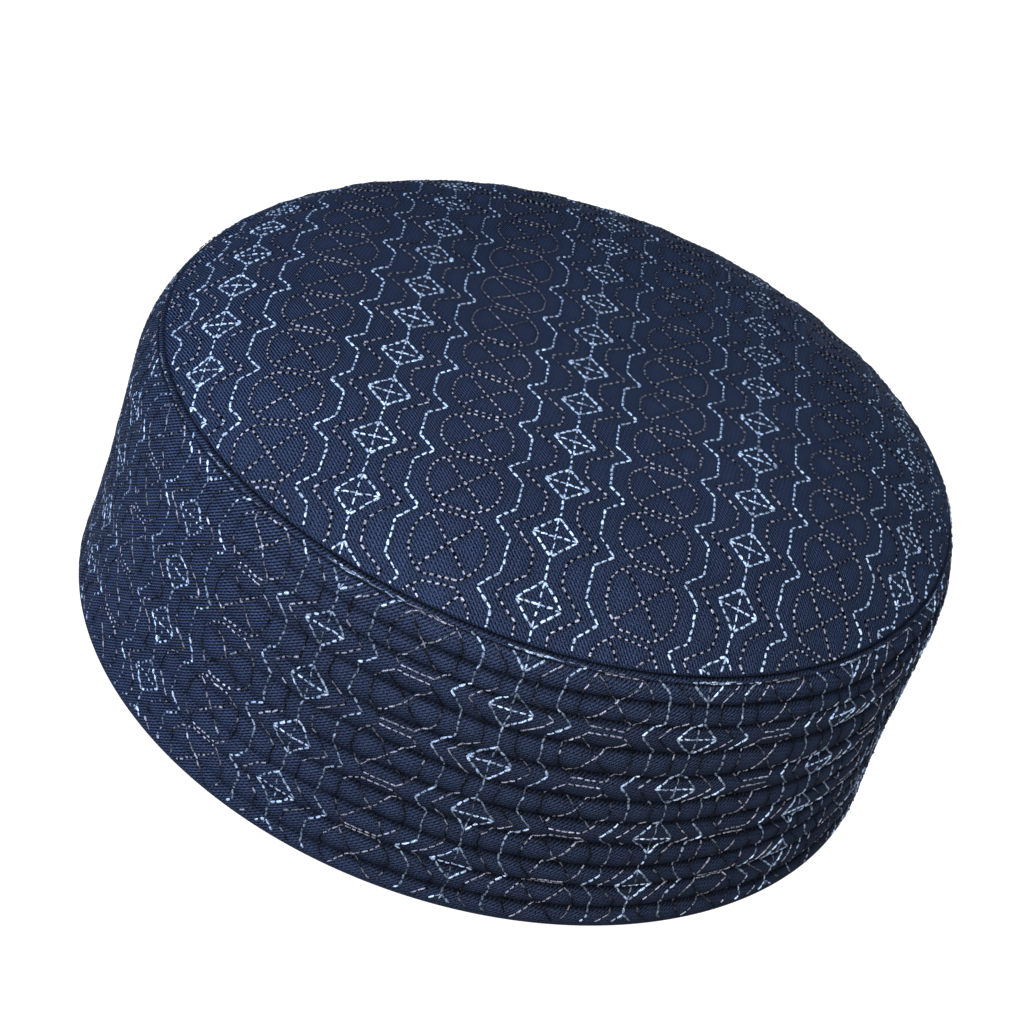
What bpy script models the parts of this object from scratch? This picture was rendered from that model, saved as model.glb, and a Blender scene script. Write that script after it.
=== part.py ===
"""Round flat-topped prayer cap: a stiff domed crown sewn to a quilted side band.

The cap stands on its rim. Z is up, the rim lies in the plane Z = 0 and the origin is at
the rim's middle. The front is towards -Y. The hollow for the head is open downwards.
"""

import math
from collections import namedtuple

import bmesh
import bpy

MM = 0.001

# Driving sizes, in millimetres
SEAM_RADIUS = 89.0    # outer radius where the crown meets the band
SEAM_HEIGHT = 64.0    # height of that seam above the rim
CROWN_RISE = 14.5     # how far the crown's middle stands above the seam
CROWN_POWER = 5.6     # a high power keeps the middle flat and turns the edge down
CROWN_WALL = 2.0      # embroidered cloth on a stiffener
BAND_WALL = 3.3       # cloth, wadding and backing, quilted together
SEAM_SEAT = 3.0       # width of the band's flat top edge, which carries the crown
SEAM_GAP = 0.3        # air left between the crown's edge and the band's top edge
EDGE_TURN = 0.4       # how far the edge at the seam is drawn in by the stitching

# The cap is handmade: neither its crown nor its rim is a true circle, the crown sits a
# little off the rim's middle, and the seam rises and falls on its way round.
LEAN = (0.5, 0.5)
Wave = namedtuple("Wave", "lobes size angle")
CROWN_OVAL = Wave(lobes=2, size=1.6, angle=78.0)
RIM_OVAL = Wave(lobes=2, size=0.9, angle=50.0)
SEAM_WAVES = (
    Wave(lobes=2, size=0.8, angle=66.0),
    Wave(lobes=3, size=0.4, angle=0.0),
)
OVAL_POWER = 12       # keeps the crown's oval to its edge
WAVE_POWER = 6        # lets the seam's wave run further in

# Outer radius of the band, over the crests of its channels
Outline = namedtuple("Outline", "depth radius")
BAND_OUTLINE = (
    Outline(depth=0.0, radius=89.0),
    Outline(depth=2.5, radius=90.3),
    Outline(depth=5.6, radius=91.6),
    Outline(depth=9.9, radius=92.5),
    Outline(depth=42.0, radius=92.5),
    Outline(depth=53.2, radius=93.0),
    Outline(depth=64.0, radius=93.8),
)

# Quilted channels from the seam down. The first row is the thin lip along the seam, and
# swell is how far a channel's crest stands out from the stitched grooves beside it.
Channel = namedtuple("Channel", "height swell")
CHANNELS = (
    Channel(height=1.3, swell=0.4),
    Channel(height=4.3, swell=0.8),
    Channel(height=4.3, swell=0.8),
    Channel(height=7.0, swell=1.1),
    Channel(height=6.8, swell=1.1),
    Channel(height=6.2, swell=1.1),
    Channel(height=6.0, swell=1.1),
    Channel(height=6.1, swell=1.1),
    Channel(height=5.5, swell=1.0),
    Channel(height=5.7, swell=1.0),
    Channel(height=5.8, swell=1.1),
    Channel(height=5.0, swell=1.0),
)
LIP_POINTS = (0.5,)           # places of the profile's points across the lip
CHANNEL_POINTS = (0.25, 0.7)  # and across a full channel
INNER_DEPTHS = (0.0, 9.9, 42.0, 64.0)

# Fineness
SEGMENTS = 72
CROWN_RINGS = (30.0, 52.0, 66.0, 74.0, 79.5, 83.5, 86.5)
UNDERSIDE_RINGS = (82.0, 76.0, 68.0, 54.0, 30.0)
SHARP_ANGLE = math.radians(50)

NAVY = (0.016, 0.030, 0.082, 1.0)
DEEP_NAVY = (0.012, 0.024, 0.062, 1.0)


def wave_at(wave, angle):
    """Height of one wave of the edge at an angle round the cap."""
    return wave.size * math.cos(wave.lobes * (angle - math.radians(wave.angle)))


def settle(x, y, z):
    """Move a point of the true round cap to where it lies on the handmade one."""
    radius = math.hypot(x, y)
    if radius == 0.0:
        return x + LEAN[0], y + LEAN[1], z
    angle = math.atan2(y, x)
    up = min(z / SEAM_HEIGHT, 1.0)
    crown_oval = wave_at(CROWN_OVAL, angle)
    seam_wave = sum(wave_at(wave, angle) for wave in SEAM_WAVES)
    if z > SEAM_HEIGHT:
        near_edge = min(radius / (SEAM_RADIUS - 2 * SEAM_SEAT), 1.0)
        push = crown_oval * near_edge ** OVAL_POWER
        lift = seam_wave * near_edge ** WAVE_POWER
    else:
        push = up * crown_oval + (1.0 - up) * wave_at(RIM_OVAL, angle)
        lift = seam_wave * up
    stretch = 1.0 + push / radius
    return x * stretch + LEAN[0] * up, y * stretch + LEAN[1] * up, z + lift


def crown_height(radius):
    """Height of the crown's outer face at a radius."""
    return SEAM_HEIGHT + CROWN_RISE * (1.0 - (radius / SEAM_RADIUS) ** CROWN_POWER)


def underside_height(radius):
    """Height of the crown's inner face, one wall thickness in from the outer face."""
    slope = CROWN_RISE * CROWN_POWER / SEAM_RADIUS * (radius / SEAM_RADIUS) ** (CROWN_POWER - 1)
    return crown_height(radius) - CROWN_WALL * math.hypot(1.0, slope)


def band_radius(depth):
    """Radius over the band's crests at a depth below the seam."""
    for above, below in zip(BAND_OUTLINE, BAND_OUTLINE[1:]):
        if depth <= below.depth:
            share = (depth - above.depth) / (below.depth - above.depth)
            return above.radius + share * (below.radius - above.radius)
    return BAND_OUTLINE[-1].radius


def crown_profile():
    """Section of the crown from the axis over the outer face and back underneath."""
    edge = SEAM_RADIUS - EDGE_TURN
    seat = SEAM_HEIGHT + SEAM_GAP
    profile = [(0.0, crown_height(0.0))]
    profile += [(radius, crown_height(radius)) for radius in CROWN_RINGS]
    profile += [(edge, seat), (edge - SEAM_SEAT, seat)]
    profile += [(radius, underside_height(radius)) for radius in UNDERSIDE_RINGS]
    profile += [(0.0, underside_height(0.0))]
    return profile


def channel_points(top, channel, places):
    """Crest points of one channel and the groove below it."""
    points = []
    for place in places:
        depth = top + place * channel.height
        dip = channel.swell * (2.0 * place - 1.0) ** 2
        points.append((band_radius(depth) - dip, SEAM_HEIGHT - depth))
    groove = top + channel.height
    points.append((band_radius(groove) - channel.swell, SEAM_HEIGHT - groove))
    return points


def band_profile():
    """Closed section of the band, down the quilted outside and up the plain inside."""
    profile = [(SEAM_RADIUS - EDGE_TURN, SEAM_HEIGHT)]
    depth = 0.0
    for number, channel in enumerate(CHANNELS):
        places = LIP_POINTS if number == 0 else CHANNEL_POINTS
        profile += channel_points(depth, channel, places)
        depth += channel.height
    for depth in reversed(INNER_DEPTHS):
        profile.append((band_radius(depth) - BAND_WALL, SEAM_HEIGHT - depth))
    return profile


def cloth_material(name, colour):
    """Plain woven cloth with a soft sheen."""
    material = bpy.data.materials.new(name)
    material.use_nodes = True
    shader = material.node_tree.nodes["Principled BSDF"]
    shader.inputs["Base Color"].default_value = colour
    shader.inputs["Roughness"].default_value = 0.8
    shader.inputs["Metallic"].default_value = 0.0
    shader.inputs["Sheen Weight"].default_value = 0.2
    return material


def turned(name, profile, closed, material):
    """Spin a section, given in millimetres, once round Z and settle its points."""
    mesh = bpy.data.meshes.new(name)
    work = bmesh.new()
    corners = [work.verts.new((radius, 0.0, height)) for radius, height in profile]
    pairs = list(zip(corners, corners[1:]))
    if closed:
        pairs.append((corners[-1], corners[0]))
    edges = [work.edges.new(pair) for pair in pairs]
    bmesh.ops.spin(
        work,
        geom=corners + edges,
        cent=(0.0, 0.0, 0.0),
        axis=(0.0, 0.0, 1.0),
        angle=2.0 * math.pi,
        steps=SEGMENTS,
        use_duplicate=False,
    )
    bmesh.ops.remove_doubles(work, verts=work.verts, dist=0.001)
    bmesh.ops.recalc_face_normals(work, faces=work.faces)
    for vertex in work.verts:
        vertex.co = [MM * value for value in settle(*vertex.co)]
    work.to_mesh(mesh)
    work.free()
    mesh.shade_smooth()
    mesh.set_sharp_from_angle(angle=SHARP_ANGLE)
    mesh.materials.append(material)
    piece = bpy.data.objects.new(name, mesh)
    bpy.context.scene.collection.objects.link(piece)
    return piece


def main():
    for leftover in list(bpy.data.objects):
        bpy.data.objects.remove(leftover, do_unlink=True)
    turned("crown_top", crown_profile(), False, cloth_material("crown_cloth", NAVY))
    turned("side_band", band_profile(), True, cloth_material("band_cloth", DEEP_NAVY))


main()
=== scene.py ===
"""Looks of a round prayer cap: navy twill, embroidered in light blue and grey thread.

Sizes are in millimetres and angles in degrees, and MM turns a size into metres where a
mesh, a lamp or the camera is made. A place on the crown's cloth is two lengths along it
from its middle, u to the right and v to the back. A place on the band's cloth is an angle
round the cap, -90 at the front, and a depth below the seam.
"""

import math
from collections import namedtuple

import bpy
import numpy as np
from mathutils import Matrix, Vector
from mathutils.kdtree import KDTree


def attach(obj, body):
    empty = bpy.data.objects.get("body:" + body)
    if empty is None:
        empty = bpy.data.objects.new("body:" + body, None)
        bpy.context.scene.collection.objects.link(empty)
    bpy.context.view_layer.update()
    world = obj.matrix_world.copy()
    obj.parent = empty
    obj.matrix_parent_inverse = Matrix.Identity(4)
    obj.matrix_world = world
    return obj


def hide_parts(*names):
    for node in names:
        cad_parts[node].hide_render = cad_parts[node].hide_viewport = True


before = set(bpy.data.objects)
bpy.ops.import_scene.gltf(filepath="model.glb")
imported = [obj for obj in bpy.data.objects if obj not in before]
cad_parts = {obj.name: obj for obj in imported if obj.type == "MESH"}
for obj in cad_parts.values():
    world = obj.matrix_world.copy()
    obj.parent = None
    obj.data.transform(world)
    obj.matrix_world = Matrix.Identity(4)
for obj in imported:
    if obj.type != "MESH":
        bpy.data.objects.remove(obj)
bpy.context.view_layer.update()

MM = 0.001
SEED = 11
RANDOM = np.random.default_rng(SEED)

# Camera
CAMERA_PLACE = (-31.8, -391.7, 292.0)
CAMERA_HEADING = -4.23
CAMERA_DOWN = 33.55
CAMERA_ROLL = 19.75
CAMERA_LENS = 74.08
SENSOR_WIDTH = 36.0

# Shape of the cap, the same as its solids
SEAM_RADIUS = 89.0
SEAM_HEIGHT = 64.0
CROWN_RISE = 14.5
CROWN_POWER = 5.6       # a high power keeps the crown flat and turns it down at its edge
CROWN_WALL = 2.0
BAND_WALL = 3.3
SEAM_SEAT = 3.0         # width of the crown's edge that lies on the band
SEAM_GAP = 0.3
EDGE_TURN = 0.4         # how far inside the seam circle the crown ends
LEAN = (0.5, 0.5)       # how far the seam lies to the right and the back of the rim
LEAST_RADIUS = 1e-6     # keeps the division by the radius safe at the crown's middle
Wave = namedtuple("Wave", "lobes size angle")
CROWN_OVAL = Wave(lobes=2, size=1.6, angle=78.0)
RIM_OVAL = Wave(lobes=2, size=0.9, angle=50.0)
SEAM_WAVES = (Wave(lobes=2, size=0.8, angle=66.0), Wave(lobes=3, size=0.4, angle=0.0))
OVAL_POWER = 12         # how closely the oval and the waves keep to the crown's edge
WAVE_POWER = 6
OUTLINE_DEPTHS = (0.0, 2.5, 5.6, 9.9, 42.0, 53.2, 64.0)
OUTLINE_RADII = (89.0, 90.3, 91.6, 92.5, 92.5, 93.0, 93.8)
BAND_RADIUS = OUTLINE_RADII[3]      # lengths round the band are measured here

# Quilting of the band
CHANNEL_HEIGHTS = (1.3, 4.3, 4.3, 7.0, 6.8, 6.2, 6.0, 6.1, 5.5, 5.7, 5.8, 5.0)
LIP_SWELL = 0.5
SWELL_ANGLES = (-180.0, -160.0, -145.0, -120.0, -100.0, -80.0, -30.0, 0.0, 90.0)
SWELLS = (0.12, 0.12, 0.22, 0.42, 0.95, 1.35, 1.3, 1.05, 0.9)
CREST_POWER = 2.2       # a higher power gives a flatter crest
GROOVE_POWER = 0.7      # a lower power gives a tighter groove
CIRCLE_SWELL = 0.22     # share by which the channels stand out more between the diamonds
GROOVE_WANDER = 0.35    # how far a sewn groove strays from its level
Wander = namedtuple("Wander", "size lobes kinds phase")
WANDERS = (Wander(1.0, lobes=3, kinds=3, phase=2.1), Wander(0.6, lobes=7, kinds=4, phase=1.3))
JOIN_ANGLE = 90.0       # the band's ends meet at the back
JOIN_WIDTH = 0.9
JOIN_DEPTH = 0.5
SLOPE_STEP = 0.4        # depth over which the slope of the band's face is measured

# Unevenness of the cloth, most where the band is weakly quilted, on its left
FIRM = 0.22             # looseness of the firmly quilted front
LOOSE_ANGLES = (-180.0, -130.0, -100.0, 0.0, 90.0, 150.0)
LOOSE_SHARES = (1.0, 1.0, FIRM, FIRM, 0.4, 0.8)
Ripple = namedtuple("Ripple", "length direction phase")
RIPPLES = (
    Ripple(5.2, 20.0, 0.3),
    Ripple(7.1, 75.0, 1.9),
    Ripple(9.4, 130.0, 4.1),
    Ripple(6.3, 160.0, 2.7),
    Ripple(12.0, 45.0, 5.2),
)
RIPPLE_BENDS = (17.0, 11.0)
RUMPLE = 0.07
RUMPLE_ANGLES = (-180.0, -162.0, -140.0, -100.0, 0.0, 90.0, 150.0)
RUMPLE_SHARES = (0.25, 0.25, 1.0, 0.22, 0.22, 0.4, 0.4)
RUMPLE_BEND = 0.8
RUMPLE_MARGIN = 4.0     # width within which the lip and the rim hold the cloth
GATHER = 0.21           # folds drawn in where the crown is sewn to the band
GATHER_REACH = 8.0
GATHER_MARGIN = 2.5
GATHER_LOBES = (53, 79, 97, 121)
GATHER_PHASE = 1.7
GATHER_TWIST = 0.25
GATHER_FIRM = 0.35      # their share all round
GATHER_LOOSE = 0.65     # and what is added where the band is loose
SWELLING = 0.07         # slow rise and fall of the crown's cloth
SWELLING_STRETCH = 2.2
SWELLING_BEND = 1.2
SWELLING_MARGIN = 6.0

# Embroidery pattern, one motif of a diamond column with half a circle on each side
MOTIF_WIDTH = 37.58
MOTIF_HEIGHT = 14.55
CROWN_COLUMNS = (-112.0, -74.42, -36.83, 0.75, 38.34, 75.9, 113.5)
CROWN_PHASES = (0.13, 0.124, 0.114, 0.222, 0.243, 0.25, 0.26)
CROWN_ROWS = range(-8, 8)
BAND_COLUMN = -89.0
BAND_PITCH = 22.75
BAND_ROWS = range(-1, 6)
COLUMNS_ROUND = 18      # enough columns for the whole way round
LIP_COLUMNS = range(-8, 8)
ROW_DEPTHS = (-13.0, 0.6, 12.3, 25.6, 39.3, 52.6, 65.9)
SKEW = 0.018            # degrees that a column drifts at the rim, for each degree round
SKEW_ZERO = -118.0
SKEW_RANGE = (-60.0, 80.0)
SWAYS = ((0.12, 0.7, 1), (0.08, 1.7, 2))    # size, pitch and phase of a column's sideways sway

DIAMOND = (4.4, 4.7)
ZIGZAG = ((11.7, 0.0), (8.2, 3.55), (8.2, MOTIF_HEIGHT - 3.55), (11.7, MOTIF_HEIGHT))
GREY_ZIGZAG = ((8.3, 0.0), (3.2, 4.8), (3.2, MOTIF_HEIGHT - 4.8), (8.3, MOTIF_HEIGHT))
CIRCLE_CORNERS = ((7.0, 2.1), (5.8, 4.4), (3.5, 6.6))
CROSS_ARM = (4.5, 5.3)

# Thread, its shape, and its tone with painted sheen and shade
Run = namedtuple("Run", "points pitch share width reach")
Thread = namedtuple("Thread", "sides arch sink flat")
BLUE_THREAD = Thread(sides=6, arch=0.12, sink=0.02, flat=0.75)
GREY_THREAD = Thread(sides=5, arch=0.09, sink=-0.04, flat=0.8)
RING_PLACES = (0.1, 0.5, 0.9)
RING_SIZES = (0.72, 1.0, 0.72)
WIDTH_SPREAD = 0.14
TONE_SPREAD = 0.24
TONE_LIMITS = (0.02, 1.4)
REACH_LIMITS = (0.05, 0.95)
LEAST_STITCH = 0.35     # share of a stitch that is still sewn where an edge cuts it off
PAINTED_SHEEN_LEAN = 22.0       # lean along which the band's thread is painted bright as sheen, where it is firmly quilted
LEAN_JITTER = 0.45
LEAN_CONTRAST = 0.8
DRAWN_LEAN = -52.0      # lean along which the loose band's stitches are drawn out
DRAWN_REACH = 0.4
FAR_START = -30.0       # v from which the crown's cloth and stitches change to the far side's
THREAD_SHADE_PLACES = (-90.0, -40.0, 0.0, 40.0, 100.0)
THREAD_SHADE_SLANT = 0.5
BLUE_PAINTED_SHADE = (1.0, 0.9, 0.74, 0.56, 0.32)      # painted shade: the crown's thread is darker towards the back and the right
GREY_PAINTED_SHADE = (1.0, 0.85, 0.6, 0.42, 0.3)
BLUE_FAR = 0.24         # and this much less of each stitch is left bright there
GREY_FAR = 0.06
SHORTER_OVER = 70.0     # the length over which that comes in
DULL_ANGLES = (-180.0, -165.0, -148.0, -125.0, -105.0, -80.0, -50.0, -20.0, 60.0, 150.0)
DULL_TONES = (0.7, 0.75, 1.0, 1.0, 0.75, 0.87, 1.0, 1.1, 1.0, 0.8)     # tone of the band's thread at each angle round the cap

# Least tone across the lean of painted sheen, reach where the band is firm and loose, width where
# firm
BLUE_BAND = {"least": 0.28, "reach": (0.72, 0.36), "slim": 0.92}
GREY_BAND = {"least": 0.03, "reach": (0.62, 0.3), "slim": 0.78}

# Small shifts of the handmade stitches, and how near an edge they come
CROWN_JITTER = 0.09
CROWN_REACH_JITTER = 0.08
CROWN_MARGIN = 0.3
BAND_JITTER = (0.04, 0.07)          # along the angle and the depth
LOOSE_JITTER = (0.6, 1.9)           # times this much, and this much more with the looseness
BAND_REACH_JITTER = 0.1
LIP_MARGIN = 0.4
RIM_MARGIN = 1.0
LIP_JITTER = 0.13
LIP_ANGLE_JITTER = 0.3
LIP_TONES = (0.08, 0.75)
LIP_DULL = 0.55

# Stitches that sew the grooves
QUILT_PITCH = 1.6       # degrees from one quilting stitch to the next
QUILT_SHARE = 0.8
QUILT_MARGIN = 1.0      # degrees left free on each side of the band's join
QUILT_WIDTH = 0.36
QUILT_REACH = 0.5

# Cloth meshes and how the stitches draw them in
CROWN_CELLS = 240
BAND_SEGMENTS = 640
PUCKER = 0.14           # how deep the stitches draw the cloth in
PUCKER_WIDTH = 1.3
PUCKER_MARGIN = 3.0
PUCKER_SINK = 0.7       # share of the pucker by which the stitches lie in it
LOOSE_SINK = 0.16       # further in on the loose side of the band
FAR_SINK = 0.12         # and at the crown's far edge
SINK_OVER = 40.0
SINK_ARC = 72.0
SINK_ARC_OVER = 12.0
EDGE_STEP = (0.3, 0.05)         # how far in and down the crown's cut edge is rounded
UNDERSIDE_RADII = (82.0, 76.0, 68.0, 54.0, 36.0, 18.0)
LIP_PLACES = (0.0, 0.1, 0.3, 0.5, 0.7, 0.9)
CHANNEL_PLACES = (0.0, 0.06, 0.15, 0.3, 0.5, 0.7, 0.85, 0.94)
INNER_PLACES = (0.0, 0.3, 0.7)
INNER_SWELL = 0.35
RIM_ROUND = 1.3
RIM_INSET = 0.2
RIM_BENDS = range(20, 180, 20)
LEDGE_DROP = 0.1        # the ledge the crown is seated on
LEDGE_INSET = 0.5
LEDGE_WEAVE = 10.0      # keeps the ledge's weave clear of the inside's

# Painted shade and wear of the cloth, as attributes that the materials read
SEAM_SHADE = 0.22       # how far the painted shade along a seam reaches
GROOVE_SHADE = 0.75     # and that of a sewn groove
CROWN_SEAM_PAINTED_SHADE = 0.3
UNDER_START, UNDER_OVER = 0.4, 0.6      # part of a channel that faces down, where shade is painted
UNDER_PAINTED_SHADE = 0.9
UNDER_POWER = 1.4
BETWEEN_LIGHT = 0.25    # share by which the painted shade under the channels is lighter at the diamond columns
CROWN_SOFT = 0.5        # how far the crown's wales are rubbed down at the front
SOFT_START, SOFT_OVER = 20.0, 50.0
CROWN_CRISP = 0.5       # and how much sharper they are further back
CRISP_OVER = 50.0
SOFT_ANGLES = (-180.0, -130.0, -100.0, 0.0, 90.0)
SOFT_SHARES = (0.0, 0.0, 0.5, 0.5, 0.25)

# Twill, its noise scales per millimetre
CLOTH_IOR = 1.15        # a low index keeps the dark cloth from paling where it is seen aslant
Twill = namedtuple("Twill", "name angle contrast light")
CROWN_TWILL = Twill("crown_twill", angle=-53.0, contrast=0.72, light=(0.044, 0.066, 0.142, 1.0))
BAND_TWILL = Twill("band_twill", angle=37.0, contrast=0.7, light=(0.046, 0.067, 0.14, 1.0))
TWILL_DARK = (0.0004, 0.001, 0.005, 1.0)
WALE_PITCH = 0.58
WALE_MIDDLE = 0.42
FLOAT_LENGTH = 1.18
FLOAT_SHARE = 0.5
DRIFT_SCALE, DRIFT = 0.35, 0.5              # the wales wander sideways
WORN_SCALE, WORN, WORN_LEAST = 0.09, 0.8, 0.66
FUZZ_SCALE, FUZZ = 4.8, 2.7
SLOW_SCALE, SLOW, SLOW_LEAST = 0.03, 0.5, 0.75
# Shares of painted shade near the stitches and in the seams and grooves, and how much darker the
# inside is
PUCKER_PAINTED_SHADE, GROOVE_PAINTED_SHADE, INSIDE_DARK = 0.3, 0.8, 0.25
CLOTH_ROUGH, FUZZ_ROUGH, GROOVE_ROUGH = 0.33, 0.2, 0.4
SHEEN, SHEEN_ROUGH, SHEEN_TINT = 0.01, 0.4, (0.45, 0.6, 1.0, 1.0)
CLOTH_BUMP = 0.0001     # in metres, as the thread's

# Yarn, its noise scales per metre
THREAD_IOR = 1.3
Yarn = namedtuple("Yarn", "name body tips roughness specular")
# Tips are painted shade where the thread goes into the cloth; the grey yarn is near black, and
# its pale body is a painted highlight
BLUE_YARN = Yarn("blue_thread", (0.385, 0.485, 0.68, 1.0), (0.002, 0.004, 0.014, 1.0), 0.4, 0.15)
GREY_YARN = Yarn("grey_thread", (0.27, 0.27, 0.345, 1.0), (0.0005, 0.0005, 0.001, 1.0), 0.4, 0.1)
NAVY_YARN = Yarn("navy_thread", (0.005, 0.008, 0.02, 1.0), (0.002, 0.003, 0.007, 1.0), 0.5, 0.1)
ENDS_FADE = 0.18        # share of half a stitch over which it darkens
# Strands of the twist; the specks they brighten above the yarn's body are painted glints
STRAND_SCALE, STRAND, STRAND_SHIFT, STRAND_LEAST = 3900.0, 4.4, -1.15, 0.15
FIBRE_SCALE, FIBRE_BUMP, FIBRE_STRENGTH = 4000.0, 0.00008, 0.6

# Stage and lamps
FLOOR_RADIUS = 1800.0
WALL_BEND = 900.0
WALL_BENDS = range(10, 91, 10)
STAGE_STEPS = 96
PAPER_COLOUR = (0.2, 0.2, 0.2, 1.0)
PAPER_GLOW = 0.97
WHITE = (1.0, 1.0, 1.0, 1.0)
WORLD_GLOW = 0.045
Lamp = namedtuple("Lamp", "name place size power colour glossy")
LAMPS = (
    Lamp("key", (-150.0, -330.0, 330.0), 300.0, 2.15, (1.0, 0.95, 0.9), True),
    Lamp("top", (0.0, -200.0, 850.0), 350.0, 2.0, (0.36, 0.7, 1.0), True),
    Lamp("left", (-800.0, -250.0, 190.0), 400.0, 4.7, (0.24, 0.54, 1.0), True),
    Lamp("front", (0.0, -870.0, 620.0), 600.0, 5.5, (0.95, 0.98, 0.96), True),
    Lamp("back", (260.0, 740.0, 80.0), 240.0, 4.2, (0.75, 0.87, 1.0), False),
    Lamp("right", (700.0, 330.0, 80.0), 240.0, 1.6, (0.6, 0.85, 1.0), False),
)


def ramp(value, start, length):
    """0 up to the start, and from there up to 1 over the length."""
    return np.clip((value - start) / length, 0.0, 1.0)


# Surfaces of the cap
def wave_at(wave, angle):
    return wave.size * np.cos(wave.lobes * (angle - math.radians(wave.angle)))


def settle(x, y, z):
    """Move points of the true round cap to where they lie on the handmade one."""
    radius = np.maximum(np.hypot(x, y), LEAST_RADIUS)
    angle = np.arctan2(y, x)
    up = np.minimum(z / SEAM_HEIGHT, 1.0)
    near_edge = np.minimum(radius / (SEAM_RADIUS - 2 * SEAM_SEAT), 1.0)
    crown_oval = wave_at(CROWN_OVAL, angle)
    seam_wave = sum(wave_at(wave, angle) for wave in SEAM_WAVES)
    above = z > SEAM_HEIGHT
    push = np.where(
        above,
        crown_oval * near_edge**OVAL_POWER,
        up * crown_oval + (1.0 - up) * wave_at(RIM_OVAL, angle),
    )
    lift = seam_wave * np.where(above, near_edge**WAVE_POWER, up)
    stretch = 1.0 + push / radius
    return np.stack([x * stretch + LEAN[0] * up, y * stretch + LEAN[1] * up, z + lift], -1)


def crown_height(radius):
    return SEAM_HEIGHT + CROWN_RISE * (1.0 - (radius / SEAM_RADIUS) ** CROWN_POWER)


def crown_slope(radius):
    return -CROWN_RISE * CROWN_POWER / SEAM_RADIUS * (radius / SEAM_RADIUS) ** (CROWN_POWER - 1)


# Lengths along the crown's arc at each radius
CROWN_EDGE = SEAM_RADIUS - EDGE_TURN
RADII = np.linspace(0.0, CROWN_EDGE, 2000)
STEPS = np.hypot(np.diff(RADII), np.diff(crown_height(RADII)))
ARCS = np.concatenate([[0.0], np.cumsum(STEPS)])
CROWN_ARC = ARCS[-1]


def looseness(angle):
    return np.interp(angle, LOOSE_ANGLES, LOOSE_SHARES, period=360.0)


def ripples(x, y, bend):
    """Sum of slanting waves over a cloth, bent a little so that they don't run straight."""
    sideways = bend * np.sin(x / RIPPLE_BENDS[0] + y / RIPPLE_BENDS[1])
    total = 0.0
    for ripple in RIPPLES:
        turn = math.radians(ripple.direction)
        place = (x * math.cos(turn) + y * math.sin(turn)) / ripple.length
        total = total + np.sin(2.0 * np.pi * place + ripple.phase + sideways)
    return total


def crown_relief(u, v):
    """Small rise and fall of the crown's cloth, with gathers near the seam."""
    angle = np.arctan2(v, u)
    away = CROWN_ARC - np.hypot(u, v)
    gathers = 0.0
    for number, lobes in enumerate(GATHER_LOBES):
        gathers = gathers + np.sin(lobes * angle + GATHER_PHASE * number + GATHER_TWIST * away)
    near = np.exp(-((away / GATHER_REACH) ** 2)) * ramp(away, 0.0, GATHER_MARGIN)
    near = near * (GATHER_FIRM + GATHER_LOOSE * looseness(np.degrees(angle)))
    swelling = ripples(u / SWELLING_STRETCH, v / SWELLING_STRETCH, SWELLING_BEND)
    return GATHER * near * gathers + SWELLING * swelling * ramp(away, 0.0, SWELLING_MARGIN)


def crown_surface(u, v, rise):
    """Points over the crown's cloth, raised off it by rise."""
    radius = np.interp(np.hypot(u, v), ARCS, RADII)
    angle = np.arctan2(v, u)
    slope = crown_slope(radius)
    upright = 1.0 / np.hypot(1.0, slope)
    rise = rise + crown_relief(u, v)
    out = radius - rise * slope * upright
    return settle(out * np.cos(angle), out * np.sin(angle), crown_height(radius) + rise * upright)


def underside_height(radius):
    return crown_height(radius) - CROWN_WALL * np.hypot(1.0, crown_slope(radius))


def groove_depths(angle):
    """Depths of the seam, the sewn grooves and the rim at each angle."""
    levels = np.concatenate([[0.0], np.cumsum(CHANNEL_HEIGHTS)])
    turn = np.radians(angle)[..., None]
    number = np.arange(len(levels))
    wander = 0.0
    for size, lobes, kinds, phase in WANDERS:
        wander = wander + size * np.sin(turn * (lobes + number % kinds) + phase * number)
    free = (number > 1) & (number < len(levels) - 1)
    return levels + GROOVE_WANDER * wander * free


def column_share(angle):
    """Where an angle lies between two diamond columns, 0 and 1 at the columns."""
    return (angle - BAND_COLUMN) / BAND_PITCH % 1.0


def rumple(angle, depth):
    """How far the band's loose cloth stands out or lies in."""
    held = ramp(depth, CHANNEL_HEIGHTS[0], RUMPLE_MARGIN)
    held = held * ramp(SEAM_HEIGHT - depth, 0.0, RUMPLE_MARGIN)
    around = np.radians(angle) * BAND_RADIUS
    share = np.interp(angle, RUMPLE_ANGLES, RUMPLE_SHARES, period=360.0)
    return RUMPLE * share * held * ripples(around, depth, RUMPLE_BEND)


def band_radius(angle, depth):
    """Outer radius of the quilted band."""
    grooves = groove_depths(angle)
    number = np.clip((depth[..., None] >= grooves).sum(-1) - 1, 0, len(CHANNEL_HEIGHTS) - 1)
    top = np.take_along_axis(grooves, number[..., None], -1)[..., 0]
    bottom = np.take_along_axis(grooves, number[..., None] + 1, -1)[..., 0]
    across = np.clip(2.0 * (depth - top) / (bottom - top) - 1.0, -1.0, 1.0)
    swell = np.interp(angle, SWELL_ANGLES, SWELLS, period=360.0)
    swell = swell * (1.0 - CIRCLE_SWELL * np.cos(2.0 * np.pi * column_share(angle)))
    narrow = np.minimum((bottom - top) / np.median(CHANNEL_HEIGHTS), 1.0)
    dip = np.where(
        number == 0,
        LIP_SWELL * (1.0 - np.sqrt(1.0 - across**2)),
        swell * narrow * (1.0 - (1.0 - np.abs(across) ** CREST_POWER) ** GROOVE_POWER),
    )
    away = (angle - JOIN_ANGLE + 180.0) % 360.0 - 180.0
    join = JOIN_DEPTH * np.exp(-((away / JOIN_WIDTH) ** 2))
    radius = np.interp(depth, OUTLINE_DEPTHS, OUTLINE_RADII) - dip - join
    return radius + rumple(angle, depth)


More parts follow.
